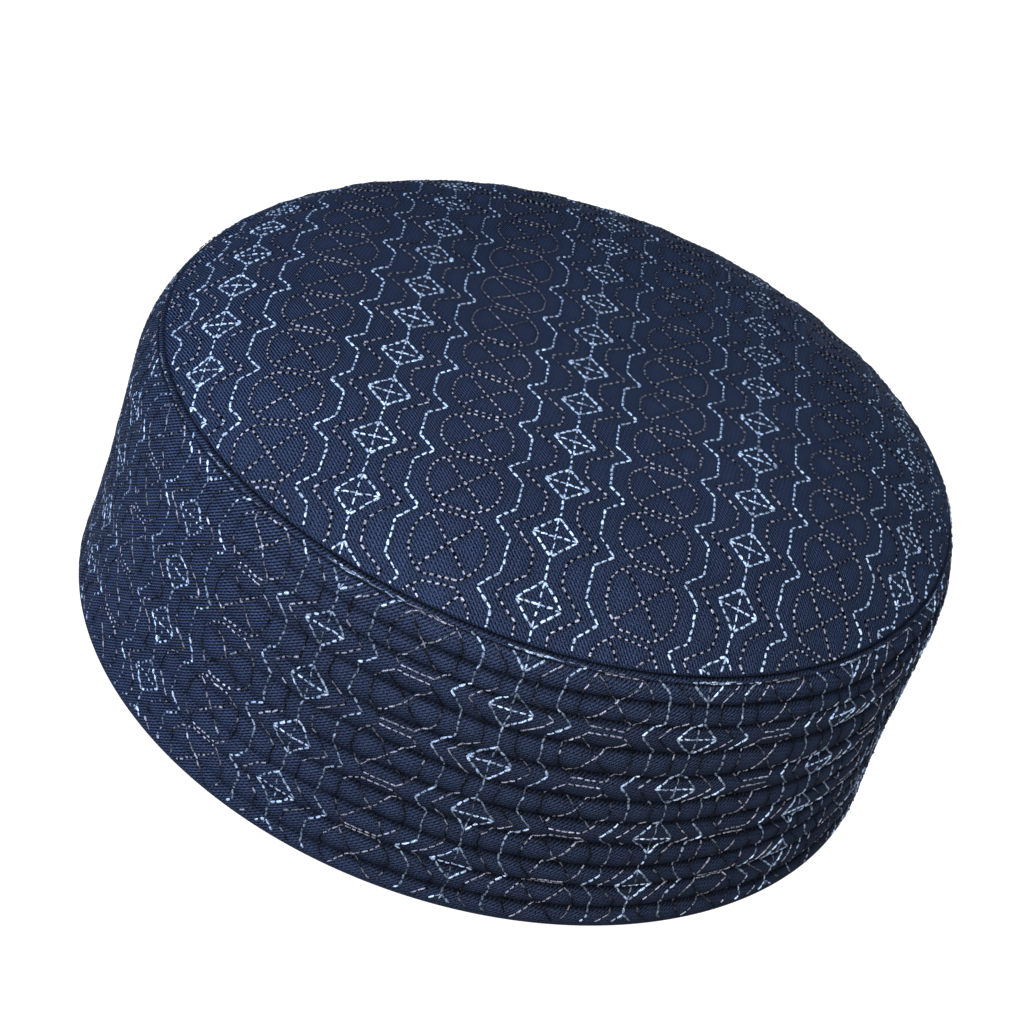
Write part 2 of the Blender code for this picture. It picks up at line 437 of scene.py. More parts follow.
def band_surface(angle, depth, rise):
    """Points over the band's cloth, raised off it by rise."""
    turn = np.radians(angle)
    radius = band_radius(angle, depth)
    change = band_radius(angle, depth + SLOPE_STEP) - band_radius(angle, depth - SLOPE_STEP)
    slope = change / (2 * SLOPE_STEP)
    upright = 1.0 / np.hypot(1.0, slope)
    out = radius + rise * upright
    height = SEAM_HEIGHT - depth + rise * slope * upright
    return settle(out * np.cos(turn), out * np.sin(turn), height)


# Motif as runs of stitches, in millimetres from the middle of a diamond or a circle
GREY_STITCH = {"share": 1.1, "width": 0.46, "reach": 0.34}


def mirrored(points):
    return [points, tuple((-u, v) for u, v in points)]


def blue_runs():
    wide, high = DIAMOND
    right, top, left, bottom = (wide, 0.0), (0.0, high), (-wide, 0.0), (0.0, -high)
    runs = [
        Run((right, top, left, bottom, right), pitch=1.6, share=1.02, width=0.54, reach=0.64),
        Run((left, right), pitch=1.4, share=1.0, width=0.43, reach=0.62),
        Run((bottom, top), pitch=1.85, share=0.9, width=0.42, reach=0.6),
        Run((top, (0.0, MOTIF_HEIGHT - high)), pitch=1.7, share=0.95, width=0.5, reach=0.58),
    ]
    for points in mirrored(ZIGZAG):
        runs.append(Run(points, pitch=1.62, share=1.0, width=0.52, reach=0.6))
    return runs


def grey_runs():
    return [Run(points, pitch=1.6, **GREY_STITCH) for points in mirrored(GREY_ZIGZAG)]


def circle_runs():
    first = CIRCLE_CORNERS
    corners = list(first)
    corners += [(-u, v) for u, v in reversed(first)]
    corners += [(-u, -v) for u, v in first]
    corners += [(u, -v) for u, v in reversed(first)]
    corners.append(first[0])
    runs = [Run(tuple(corners), pitch=1.55, **GREY_STITCH)]
    for points in mirrored(((-CROSS_ARM[0], -CROSS_ARM[1]), CROSS_ARM)):
        runs.append(Run(points, pitch=1.6, **GREY_STITCH))
    return runs


def travel_runs():
    return [
        Run(((-4.4, 0.65), (4.4, 0.5)), pitch=1.8, share=1.0, width=0.31, reach=0.75),
        Run(((-1.0, 0.75), (11.9, 0.6)), pitch=2.1, share=0.95, width=0.27, reach=0.7),
    ]


def grey_travel_runs():
    return [Run(((12.5, 0.65), (21.0, 0.75)), pitch=2.2, share=0.95, width=0.28, reach=0.7)]


# Columns of an array of stitches
U0, V0, U1, V1, WIDTH, TONE, REACH = range(7)
PLACES, STARTS, ENDS = slice(0, 4), slice(0, 2), slice(2, 4)


def stitches_of(runs):
    """Every stitch of the runs, a row each."""
    rows = []
    for run in runs:
        for start, end in zip(run.points, run.points[1:]):
            start, end = np.array(start), np.array(end)
            count = max(1, round(math.dist(start, end) / run.pitch))
            for number in range(count):
                middle = start + (end - start) * (number + 0.5) / count
                half = (end - start) / count * run.share / 2
                rows.append([*(middle - half), *(middle + half), run.width, 1.0, run.reach])
    return np.array(rows)


def cut_off(stitches, start_past, end_past):
    """Stitches cut back to an edge, given how far past it each end lies, without stubs."""
    span = np.where(start_past == end_past, 1.0, start_past - end_past)
    first = np.clip(start_past / span, 0.0, 1.0) * (start_past > 0.0)
    last = 1.0 - np.clip(-end_past / span, 0.0, 1.0) * (end_past > 0.0)
    start = stitches[:, STARTS].copy()
    line = stitches[:, ENDS] - start
    stitches[:, STARTS] = start + line * first[:, None]
    stitches[:, ENDS] = start + line * last[:, None]
    inside = np.minimum(start_past, end_past) < 0.0
    return stitches[inside & (last - first > LEAST_STITCH)]


def crown_stitches(runs, halfway, painted_shade, shorter):
    """Stitches of all columns on the crown, those of the circles lie halfway between."""
    motif = stitches_of(runs)
    columns = list(zip(CROWN_COLUMNS, CROWN_PHASES))
    if halfway:
        pairs = zip(columns, columns[1:])
        columns = [((a[0] + b[0]) / 2, (a[1] + b[1]) / 2 + 0.5) for a, b in pairs]
    placed = []
    for column, phase in columns:
        for row in CROWN_ROWS:
            shift = np.array([column, (row + phase) * MOTIF_HEIGHT] * 2 + [0.0, 0.0, 0.0])
            placed.append(motif + shift)
    stitches = np.concatenate(placed)
    stitches[:, PLACES] += RANDOM.normal(0.0, CROWN_JITTER, (len(stitches), 4))
    # Painted shade: the thread is darker towards the back and the right, with less of each stitch
    # bright
    place = stitches[:, V0] + THREAD_SHADE_SLANT * np.maximum(stitches[:, U0], 0.0)
    stitches[:, TONE] = np.interp(place, THREAD_SHADE_PLACES, painted_shade)
    stitches[:, REACH] += RANDOM.normal(0.0, CROWN_REACH_JITTER, len(stitches))
    stitches[:, REACH] -= shorter * ramp(place, FAR_START, SHORTER_OVER)
    edge = CROWN_ARC - CROWN_MARGIN
    start_past = np.hypot(stitches[:, U0], stitches[:, V0]) - edge
    end_past = np.hypot(stitches[:, U1], stitches[:, V1]) - edge
    return cut_off(stitches, start_past, end_past)


# Depths of the cloth heights, counted in motifs, at each whole degree round the band
DEPTHS = np.arange(0.0, SEAM_HEIGHT, 0.1)
TABLE_ANGLES = np.arange(JOIN_ANGLE - 362.0, JOIN_ANGLE + 3.0)
TABLE_HEIGHTS = np.arange(0.0, 4.9, 0.02)


def depth_table():
    table = []
    for angle in TABLE_ANGLES:
        radius = band_radius(np.full(len(DEPTHS), angle), DEPTHS)
        length = np.cumsum(np.hypot(np.gradient(radius), np.gradient(DEPTHS)))
        pins = np.interp(ROW_DEPTHS, DEPTHS, length)
        place = np.interp(TABLE_HEIGHTS, np.arange(-1, len(ROW_DEPTHS) - 1), pins)
        table.append(np.interp(place, length, DEPTHS))
    return np.array(table)


DEPTH_TABLE = depth_table()


def depth_of(angle, v):
    """Depths of cloth heights v, with the cloth's length over the channels kept."""
    whole = np.round(angle - TABLE_ANGLES[0]).astype(int).clip(0, len(TABLE_ANGLES) - 1)
    place = v / MOTIF_HEIGHT / TABLE_HEIGHTS[1]
    low = np.floor(place).astype(int).clip(0, len(TABLE_HEIGHTS) - 2)
    share = place - low
    inside = DEPTH_TABLE[whole, low] * (1 - share) + DEPTH_TABLE[whole, low + 1] * share
    return np.where((place >= 0.0) & (place < len(TABLE_HEIGHTS) - 1), inside, -1.0)


def on_band(column, u, v):
    """Angle and depth of a motif's point on the band."""
    level = np.interp(v / MOTIF_HEIGHT, np.arange(-1, len(ROW_DEPTHS) - 1), ROW_DEPTHS)
    skew = SKEW * np.clip(column - SKEW_ZERO, *SKEW_RANGE) * level / SEAM_HEIGHT
    angle = column + u / MOTIF_WIDTH * BAND_PITCH + skew
    for size, pitch, phase in SWAYS:
        angle = angle + size * np.sin(level * pitch + phase * column)
    return angle, depth_of(angle, v)


def lean_of(stitches, degrees):
    """1 for stitches that lean by these degrees up to the right, and -1 for those across."""
    wide = np.radians(stitches[:, U1] - stitches[:, U0]) * BAND_RADIUS
    high = stitches[:, V0] - stitches[:, V1]
    return np.cos(2.0 * (np.arctan2(high, wide) - np.radians(degrees)))


def painted_lean_sheen(stitches, least):
    """Painted sheen: thread is bright along one lean and dark across it."""
    lean = lean_of(stitches, PAINTED_SHEEN_LEAN * (1.0 - looseness(stitches[:, U0])))
    lean = lean + RANDOM.normal(0.0, LEAN_JITTER, len(stitches))
    return least + (1.0 - least) * np.clip(0.5 + LEAN_CONTRAST * lean, 0.0, 1.0)


def band_stitches(runs, halfway, least, reach, slim):
    """Stitches of all columns on the band, with the reach of firm and of loose cloth."""
    motif = stitches_of(runs)
    placed = []
    first = math.ceil((JOIN_ANGLE - 360.0 - BAND_COLUMN) / BAND_PITCH) - 1
    for number in range(first, first + COLUMNS_ROUND):
        column = BAND_COLUMN + (number + halfway * 0.5) * BAND_PITCH
        for row in BAND_ROWS:
            v = (row + halfway * 0.5) * MOTIF_HEIGHT
            start = on_band(column, motif[:, U0], motif[:, V0] + v)
            end = on_band(column, motif[:, U1], motif[:, V1] + v)
            placed.append(np.stack([*start, *end, *motif[:, WIDTH:].T], -1))
    stitches = np.concatenate(placed)
    loose = looseness(stitches[:, U0])
    stitches[:, TONE] = painted_lean_sheen(stitches, least)
    drawn = loose * np.clip(lean_of(stitches, DRAWN_LEAN), 0.0, 1.0) ** 2
    stitches[:, REACH] = np.interp(loose, (FIRM, 1.0), reach) + DRAWN_REACH * drawn
    stitches[:, REACH] += RANDOM.normal(0.0, BAND_REACH_JITTER, len(stitches))
    stitches[:, WIDTH] *= np.interp(loose, (FIRM, 1.0), (slim, 1.0))
    stitches[:, TONE] *= np.interp(stitches[:, U0], DULL_ANGLES, DULL_TONES, period=360.0)
    jitter = np.array(BAND_JITTER * 2) * (LOOSE_JITTER[0] + LOOSE_JITTER[1] * loose[:, None])
    stitches[:, PLACES] += RANDOM.normal(0.0, 1.0, (len(stitches), 4)) * jitter
    low = np.minimum(stitches[:, V0], stitches[:, V1])
    west = np.minimum(stitches[:, U0], stitches[:, U1])
    east = np.maximum(stitches[:, U0], stitches[:, U1])
    inside = (low > LIP_MARGIN) & (west > JOIN_ANGLE - 360.0) & (east < JOIN_ANGLE)
    stitches = stitches[inside]
    rim = SEAM_HEIGHT - RIM_MARGIN
    return cut_off(stitches, stitches[:, V0] - rim, stitches[:, V1] - rim)


def lip_stitches(runs):
    """Stitches of thread that travels along the lip from one part of a motif to the next."""
    motif = stitches_of(runs)
    placed = []
    for number in LIP_COLUMNS:
        column = BAND_COLUMN + number * BAND_PITCH
        row = motif.copy()
        for end in (U0, U1):
            row[:, end] = column + motif[:, end] / MOTIF_WIDTH * BAND_PITCH
        placed.append(row)
    stitches = np.concatenate(placed)
    stitches[:, [V0, V1]] += RANDOM.normal(0.0, LIP_JITTER, (len(stitches), 2))
    stitches[:, [U0, U1]] += RANDOM.normal(0.0, LIP_ANGLE_JITTER, (len(stitches), 2))
    stitches[:, TONE] = RANDOM.uniform(*LIP_TONES, len(stitches))
    stitches[:, TONE] *= 1.0 - LIP_DULL * looseness(stitches[:, U0])
    return stitches


def quilting_stitches():
    """Rows of stitches that sew the grooves between the channels."""
    placed = []
    for number in range(1, len(CHANNEL_HEIGHTS)):
        first = JOIN_ANGLE - 360.0 + QUILT_MARGIN
        start = np.arange(first, JOIN_ANGLE - QUILT_MARGIN, QUILT_PITCH)
        end = start + QUILT_PITCH * QUILT_SHARE
        above, below = groove_depths(start)[:, number], groove_depths(end)[:, number]
        rest = np.full((3, len(start)), [[QUILT_WIDTH], [1.0], [QUILT_REACH]])
        placed.append(np.stack([start, above, end, below, *rest], -1))
    return np.concatenate(placed)


def sunk_in(name, stitches):
    """How far in the stitches of a piece lie."""
    if "lip" in name:
        return 0.0
    if name.startswith("band"):
        return PUCKER_SINK * PUCKER + LOOSE_SINK * looseness(stitches[:, U0])
    far = ramp(stitches[:, V0], FAR_START, SINK_OVER)
    arc = np.hypot(stitches[:, U0], stitches[:, V0])
    return PUCKER_SINK * PUCKER + FAR_SINK * far * ramp(arc, SINK_ARC, SINK_ARC_OVER)


# Meshes
def new_object(name, points, faces, material):
    mesh = bpy.data.meshes.new(name)
    mesh.from_pydata((points * MM).tolist(), [], faces)
    mesh.update()
    mesh.shade_smooth()
    mesh.materials.append(material)
    piece = bpy.data.objects.new(name, mesh)
    bpy.context.scene.collection.objects.link(piece)
    return piece


def set_values(piece, **values):
    """Numbers that the material reads at each point of a piece."""
    for name, numbers in values.items():
        attribute = piece.data.attributes.new(name, "FLOAT", "POINT")
        attribute.data.foreach_set("value", np.asarray(numbers, dtype=np.float32).ravel())


def ring_faces(here, below):
    """Faces between two closed rings of point numbers."""
    return np.stack([here, below, np.roll(below, -1), np.roll(here, -1)], -1).tolist()


def thread_faces(sides, count):
    """Faces of count closed stitches: a tip, three rings of points and another tip."""
    ring = np.arange(sides)
    after = (ring + 1) % sides
    tip = 1 + len(RING_PLACES) * sides
    last = tip - sides
    tris = [np.stack([np.zeros(sides, int), 1 + after, 1 + ring], -1)]
    tris.append(np.stack([np.full(sides, tip), last + ring, last + after], -1))
    quads = []
    for number in range(len(RING_PLACES) - 1):
        low = 1 + number * sides
        high = low + sides
        quads.append(np.stack([low + ring, low + after, high + after, high + ring], -1))
    offsets = np.arange(count)[:, None, None] * (tip + 1)
    tris = (np.concatenate(tris)[None] + offsets).reshape(-1, 3)
    quads = (np.concatenate(quads)[None] + offsets).reshape(-1, 4)
    return tris.tolist() + quads.tolist()


def length_one(vectors):
    return vectors / np.linalg.norm(vectors, axis=1, keepdims=True)


def sew(name, stitches, surface, thread, material):
    """One mesh of all stitches, each a short arched length of thread in the cloth."""
    count = len(stitches)
    rise = np.zeros(count) - sunk_in(name, stitches)
    start = surface(stitches[:, U0], stitches[:, V0], rise)
    end = surface(stitches[:, U1], stitches[:, V1], rise)
    middle = (stitches[:, STARTS] + stitches[:, ENDS]) / 2
    level = surface(middle[:, 0], middle[:, 1], rise)
    up = length_one(surface(middle[:, 0], middle[:, 1], rise + 1.0) - level)
    side = length_one(np.cross(length_one(end - start), up))
    width = stitches[:, WIDTH, None] * (1.0 + RANDOM.normal(0.0, WIDTH_SPREAD, (count, 1))) / 2

    def middle_at(place):
        """Middle of the thread at a place along it."""
        bend = 4.0 * place * (1.0 - place)
        line = start + (end - start) * place + (level - (start + end) / 2) * bend
        return line + up * (bend * (thread.arch + thread.sink) - thread.sink)

    parts = [middle_at(0.0)[:, None]]
    turns = np.arange(thread.sides) * 2.0 * np.pi / thread.sides
    for place, size in zip(RING_PLACES, RING_SIZES):
        half = width * size
        ring = np.cos(turns)[None, :, None] * (side * half)[:, None]
        ring = ring + np.sin(turns)[None, :, None] * (up * half * thread.flat)[:, None]
        parts.append(middle_at(place)[:, None] + ring)
    parts.append(middle_at(1.0)[:, None])
    points = np.concatenate(parts, 1)
    faces = thread_faces(thread.sides, count)
    piece = new_object(name, points.reshape(-1, 3), faces, material)
    places = np.repeat([0.0, *RING_PLACES, 1.0], [1] + [thread.sides] * len(RING_PLACES) + [1])
    tone = stitches[:, TONE] * (1.0 + RANDOM.normal(0.0, TONE_SPREAD, count))
    set_values(
        piece,
        along=np.tile(places, count),
        tone=np.repeat(np.clip(tone, *TONE_LIMITS), points.shape[1]),
        reach=np.repeat(np.clip(stitches[:, REACH], *REACH_LIMITS), points.shape[1]),
    )
    return piece


def pucker_at(points, stitches, scale):
    """How far the stitches draw in the cloth at each point, from 0 to 1."""
    tree = KDTree(3 * len(stitches))
    number = 0
    for share in (0.0, 0.5, 1.0):
        for place in stitches[:, STARTS] * (1 - share) + stitches[:, ENDS] * share:
            tree.insert((place[0] * scale, place[1], 0.0), number)
            number += 1
    tree.balance()
    away = np.array([tree.find((a * scale, b, 0.0))[2] for a, b in points])
    return np.exp(-((away / PUCKER_WIDTH) ** 2))


def crown_grid():
    """Cloth coordinates of a square grid bent to a disc, and its outer loop in order."""
    line = np.linspace(-1.0, 1.0, CROWN_CELLS + 1)
    a, b = np.meshgrid(line, line, indexing="ij")
    wide = np.abs(a) > np.abs(b)
    safe_a = np.where(a == 0.0, 1.0, a)
    safe_b = np.where(b == 0.0, 1.0, b)
    reach = np.where(wide, a, b)
    turn = np.where(wide, np.pi / 4 * b / safe_a, np.pi / 2 - np.pi / 4 * a / safe_b)
    turn = np.where((a == 0.0) & (b == 0.0), 0.0, turn)
    u = CROWN_ARC * reach * np.cos(turn)
    v = CROWN_ARC * reach * np.sin(turn)
    numbers = np.arange((CROWN_CELLS + 1) ** 2).reshape(CROWN_CELLS + 1, -1)
    loop = np.concatenate(
        [numbers[:-1, 0], numbers[-1, :-1], numbers[:0:-1, -1], numbers[0, :0:-1]]
    )
    return u.ravel(), v.ravel(), numbers, loop


def build_crown(stitches, material):
    """Closed wall of the crown: a fine grid on top, rings underneath."""
    u, v, numbers, loop = crown_grid()
    outer = len(u)
    pucker = pucker_at(zip(u, v), stitches, 1.0)
    held = ramp(CROWN_ARC - np.hypot(u, v), 0.0, PUCKER_MARGIN)
    points = [crown_surface(u, v, -PUCKER * pucker * held)]
    weave = [np.stack([u, v], -1)]
    cells = [numbers[:-1, :-1], numbers[1:, :-1], numbers[1:, 1:], numbers[:-1, 1:]]
    faces = np.stack(cells, -1).reshape(-1, 4).tolist()
    angle = np.arctan2(v[loop], u[loop])
    seat = SEAM_HEIGHT + SEAM_GAP
    rings = [(CROWN_EDGE - EDGE_STEP[0], seat - EDGE_STEP[1]), (CROWN_EDGE - SEAM_SEAT, seat)]
    rings += [(radius, underside_height(radius)) for radius in UNDERSIDE_RADII]
    before = loop
    total = outer
    for radius, height in rings:
        x, y = radius * np.cos(angle), radius * np.sin(angle)
        points.append(settle(x, y, np.full(len(x), height)))
        weave.append(np.stack([x, y], -1))
        here = np.arange(total, total + len(loop))
        total += len(loop)
        faces += ring_faces(before, here)
        before = here
    points.append(settle(np.zeros(1), np.zeros(1), np.array([underside_height(0.0)])))
    weave.append(np.zeros((1, 2)))
    faces += [[a, total, b] for a, b in zip(before, np.roll(before, -1))]
    piece = new_object("crown_cloth", np.concatenate(points), faces, material)
    weave_u, weave_v = np.concatenate(weave).T
    # Shade painted along the seam at the crown's edge
    seam = np.exp(-(((CROWN_ARC - np.hypot(weave_u, weave_v)) / SEAM_SHADE) ** 2))
    soft = CROWN_SOFT * ramp(-weave_v, SOFT_START, SOFT_OVER)
    set_values(
        piece,
        weave_u=weave_u,
        weave_v=weave_v,
        inside=np.arange(len(weave_u)) >= outer,
        pucker=np.concatenate([pucker, np.zeros(len(weave_u) - outer)]),
        groove=CROWN_SEAM_PAINTED_SHADE * seam,
        soft=soft - CROWN_CRISP * ramp(weave_v, FAR_START, CRISP_OVER),
    )
    return piece


def band_rows(grooves):
    """Depths of the band's rows of points, and how far each row faces down, for painted shade."""
    depths = []
    unders = []
    for number in range(len(CHANNEL_HEIGHTS)):
        top, bottom = grooves[:, number], grooves[:, number + 1]
        for place in CHANNEL_PLACES if number else LIP_PLACES:
            row = top + place * (bottom - top)
            if row.mean() < SEAM_HEIGHT - RIM_ROUND:
                depths.append(row)
                unders.append(max(place - UNDER_START, 0.0) / UNDER_OVER if number else 0.0)
    return np.array(depths), np.array(unders)[:, None]


def groove_shade(around, depth, under, grooves):
    """How dark the shade painted in the seams, the grooves and the undersides of the channels is.
    """
    away = np.abs(depth[..., None] - grooves[None])
    nearest = away.argmin(-1)
    swell = np.interp(around, SWELL_ANGLES, SWELLS, period=360.0)
    sewn = np.where(nearest < 2, 1.0, np.clip(swell, 0.0, 1.0))
    line = np.exp(-((away.min(-1) / np.where(nearest < 2, SEAM_SHADE, GROOVE_SHADE)) ** 2))
    columns = np.cos(2.0 * np.pi * column_share(around))
    between = 1.0 - BETWEEN_LIGHT * (1.0 + columns) / 2.0
    return sewn * np.maximum(line, UNDER_PAINTED_SHADE * between * under**UNDER_POWER)


def build_band(stitches, material):
    """Closed wall of the band, in rings from the seam down, round the rim and up inside."""
    count = BAND_SEGMENTS
    angle = JOIN_ANGLE - 360.0 + np.arange(count) * 360.0 / count
    turn = np.radians(angle)
    grooves = groove_depths(angle)
    depth, under = band_rows(grooves)
    around = np.broadcast_to(angle, depth.shape)
    scale = math.radians(1.0) * BAND_RADIUS
    pucker = pucker_at(zip(around.ravel(), depth.ravel()), stitches, scale).reshape(depth.shape)
    outer = band_surface(around, depth, -PUCKER * pucker)

    def ring(radius, height):
        return settle(radius * np.cos(turn), radius * np.sin(turn), np.full(count, height))

    half = BAND_WALL / 2
    foot = OUTLINE_RADII[-1] - RIM_INSET - half
    rim = []
    for degrees in RIM_BENDS:
        bend = math.radians(degrees)
        rim.append(ring(foot + half * math.cos(bend), RIM_ROUND * (1.0 - math.sin(bend))))
    inner = []
    inner_depths = []
    levels = np.concatenate([[0.0], np.cumsum(CHANNEL_HEIGHTS)])
    for above, below in reversed(list(zip(levels[1:], levels[2:]))):
        for place in reversed(INNER_PLACES):
            deep = above + place * (below - above)
            swell = INNER_SWELL * (place == 0.0)
            out = np.interp(deep, OUTLINE_DEPTHS, OUTLINE_RADII) - BAND_WALL + swell
            inner.append(ring(out, SEAM_HEIGHT - deep))
            inner_depths.append(deep)
    ledge_height = SEAM_HEIGHT - LEDGE_DROP
    ledge = [ring(SEAM_RADIUS - SEAM_SEAT - EDGE_TURN, ledge_height)]
    ledge.append(ring(SEAM_RADIUS - EDGE_TURN - LEDGE_INSET, ledge_height))
    rows = [*outer, *rim, *inner, *ledge]
    points = np.concatenate(rows)
    faces = []
    for row in range(len(rows)):
        here = row * count + np.arange(count)
        below = (row + 1) % len(rows) * count + np.arange(count)
        faces += ring_faces(here, below)
    piece = new_object("band_cloth", points, faces, material)
    deep = [SEAM_HEIGHT + number for number in range(len(rim))]
    deep += [SEAM_HEIGHT + len(rim) + SEAM_HEIGHT - value for value in inner_depths]
    deep += [2 * SEAM_HEIGHT + LEDGE_WEAVE + number for number in range(len(ledge))]
    hidden = np.zeros(len(points) - depth.size)
    # Shade painted in the seams, in the grooves and under the channels
    shade = groove_shade(around, depth, under, grooves)
    soft = np.interp(angle, SOFT_ANGLES, SOFT_SHARES, period=360.0)
    set_values(
        piece,
        weave_u=np.tile(angle * scale, len(rows)),
        weave_v=-np.concatenate([depth.ravel(), np.repeat(deep, count)]),
        inside=np.arange(len(points)) >= (len(outer) + len(rim) // 2) * count,
        pucker=np.concatenate([pucker.ravel(), hidden]),
        groove=np.concatenate([shade.ravel(), hidden]),
        soft=np.tile(soft, len(rows)),
    )
    return piece


# Materials
class Nodes:
    """Small helper that adds and links the nodes of one material."""

    def __init__(self, name):
        self.material = bpy.data.materials.new(name)
        self.material.use_nodes = True
        self.tree = self.material.node_tree
        self.shader = self.tree.nodes["Principled BSDF"]

    def add(self, kind, **inputs):
        node = self.tree.nodes.new(kind)
        for name, value in inputs.items():
            self.put(node.inputs[name], value)
        return node

    def put(self, socket, value):
        if isinstance(value, bpy.types.NodeSocket):
            self.tree.links.new(value, socket)
        else:
            socket.default_value = value

    def math(self, operation, *values):
        node = self.tree.nodes.new("ShaderNodeMath")
        node.operation = operation
        for socket, value in zip(node.inputs, values):
            self.put(socket, value)
        return node.outputs[0]

    def value(self, name):
        node = self.tree.nodes.new("ShaderNodeAttribute")
        node.attribute_name = name
        return node.outputs["Fac"]

    def noise(self, place, scale, detail):
        return self.add(
            "ShaderNodeTexNoise", Vector=place, Scale=scale, Detail=detail
        ).outputs["Fac"]

    def grey(self, level):
        return self.add("ShaderNodeCombineColor", Red=level, Green=level, Blue=level).outputs[0]

    def mix(self, share, first, second, blend="MIX"):
        node = self.tree.nodes.new("ShaderNodeMix")
        node.data_type = "RGBA"
        node.blend_type = blend
        self.put(node.inputs[0], share)
        self.put(node.inputs[6], first)
        self.put(node.inputs[7], second)
        return node.outputs[2]


def cloth_material(twill):
    """Twill: slanting wales of short floats, a fine fuzz, slow changes of tone and painted shade.
    """
    nodes = Nodes(twill.name)
    u, v = nodes.value("weave_u"), nodes.value("weave_v")
    inside, pucker = nodes.value("inside"), nodes.value("pucker")
    groove, soft = nodes.value("groove"), nodes.value("soft")
    cos, sin = math.cos(math.radians(twill.angle)), math.sin(math.radians(twill.angle))
    across = nodes.math("MULTIPLY_ADD", u, -sin, nodes.math("MULTIPLY", v, cos))
    along = nodes.math("MULTIPLY_ADD", u, cos, nodes.math("MULTIPLY", v, sin))
    place = nodes.add("ShaderNodeCombineXYZ", X=across, Y=along).outputs[0]
    drift = nodes.math("MULTIPLY", nodes.noise(place, DRIFT_SCALE, 2.0), DRIFT)
    wale = nodes.math("MULTIPLY_ADD", across, 1.0 / WALE_PITCH, drift)
    ridge = nodes.math("SINE", nodes.math("MULTIPLY", wale, 2.0 * math.pi))
    lane = nodes.math("FLOOR", wale)
    slip = nodes.math("MULTIPLY", along, 1.0 / FLOAT_LENGTH)
    slip = nodes.math("MULTIPLY_ADD", lane, 0.5, slip)
    float_wave = nodes.math("SINE", nodes.math("MULTIPLY", slip, 2.0 * math.pi))
    worn = nodes.math("MULTIPLY_ADD", nodes.noise(place, WORN_SCALE, 1.0), WORN, WORN_LEAST)
    crisp = nodes.math("MULTIPLY_ADD", soft, -twill.contrast, twill.contrast)
    crisp = nodes.math("MULTIPLY", crisp, worn)
    floats = nodes.math("MULTIPLY", crisp, FLOAT_SHARE)
    height = nodes.math("MULTIPLY_ADD", ridge, crisp, WALE_MIDDLE)
    height = nodes.math("MULTIPLY_ADD", float_wave, floats, height)
    fuzz = nodes.noise(place, FUZZ_SCALE, 1.0)
    grain = nodes.math("SUBTRACT", fuzz, 0.5)
    grain = nodes.math("MULTIPLY", grain, nodes.math("ADD", soft, FUZZ))
    height = nodes.math("ADD", grain, height)
    tone = nodes.mix(height, TWILL_DARK, twill.light)
    shade = nodes.math("MULTIPLY_ADD", nodes.noise(place, SLOW_SCALE, 3.0), SLOW, SLOW_LEAST)
    # Painted shade darkens the colour near the stitches, in the seams and grooves and under the
    # channels; the inside is darker
    for share, dark in ((pucker, PUCKER_PAINTED_SHADE), (groove, GROOVE_PAINTED_SHADE), (inside, INSIDE_DARK)):
        shade = nodes.math("MULTIPLY", shade, nodes.math("MULTIPLY_ADD", share, -dark, 1.0))
    shader = nodes.shader
    colour = nodes.mix(1.0, tone, nodes.grey(shade), blend="MULTIPLY")
    nodes.put(shader.inputs["Base Color"], colour)
    rough = nodes.math("MULTIPLY_ADD", fuzz, FUZZ_ROUGH, CLOTH_ROUGH)
    rough = nodes.math("MULTIPLY_ADD", groove, GROOVE_ROUGH, rough)
    nodes.put(shader.inputs["Roughness"], rough)
    shader.inputs["IOR"].default_value = CLOTH_IOR
    shader.inputs["Specular IOR Level"].default_value = 0.5
    shader.inputs["Sheen Weight"].default_value = SHEEN
    shader.inputs["Sheen Roughness"].default_value = SHEEN_ROUGH
    shader.inputs["Sheen Tint"].default_value = SHEEN_TINT
    bump = nodes.add("ShaderNodeBump", Strength=1.0, Distance=CLOTH_BUMP, Height=height)
    nodes.put(shader.inputs["Normal"], bump.outputs[0])
    return nodes.material


def thread_material(yarn):
    """Twisted thread: ends darken into the cloth as painted shade; the grey's pale middle is a
    painted highlight.
    """
    nodes = Nodes(yarn.name)
    along, tone, reach = nodes.value("along"), nodes.value("tone"), nodes.value("reach")
    from_middle = nodes.math("ABSOLUTE", nodes.math("MULTIPLY_ADD", along, 2.0, -1.0))
    ends = nodes.add("ShaderNodeMapRange", Value=from_middle)
    nodes.put(ends.inputs["From Min"], reach)
    nodes.put(ends.inputs["From Max"], nodes.math("ADD", reach, ENDS_FADE))
    place = nodes.add("ShaderNodeTexCoord").outputs["Object"]
    # Strand noise: the twist, with bright specks that are painted glints
    strand = nodes.noise(place, STRAND_SCALE, 2.0)
    strands_and_glints = nodes.math("MULTIPLY_ADD", strand, STRAND, STRAND_SHIFT)
    strands_and_glints = nodes.math("MAXIMUM", strands_and_glints, STRAND_LEAST)
    colour = nodes.mix(1.0, yarn.body, nodes.grey(tone), blend="MULTIPLY")
    colour = nodes.mix(1.0, colour, nodes.grey(strands_and_glints), blend="MULTIPLY")
    colour = nodes.mix(ends.outputs[0], colour, yarn.tips)
    fibre = nodes.noise(place, FIBRE_SCALE, 2.0)
    bump = nodes.add(
        "ShaderNodeBump", Strength=FIBRE_STRENGTH, Distance=FIBRE_BUMP, Height=fibre
    )
    shader = nodes.shader
    nodes.put(shader.inputs["Base Color"], colour)
    nodes.put(shader.inputs["Normal"], bump.outputs[0])
    shader.inputs["Roughness"].default_value = yarn.roughness
    shader.inputs["IOR"].default_value = THREAD_IOR
    shader.inputs["Specular IOR Level"].default_value = yarn.specular
    return nodes.material


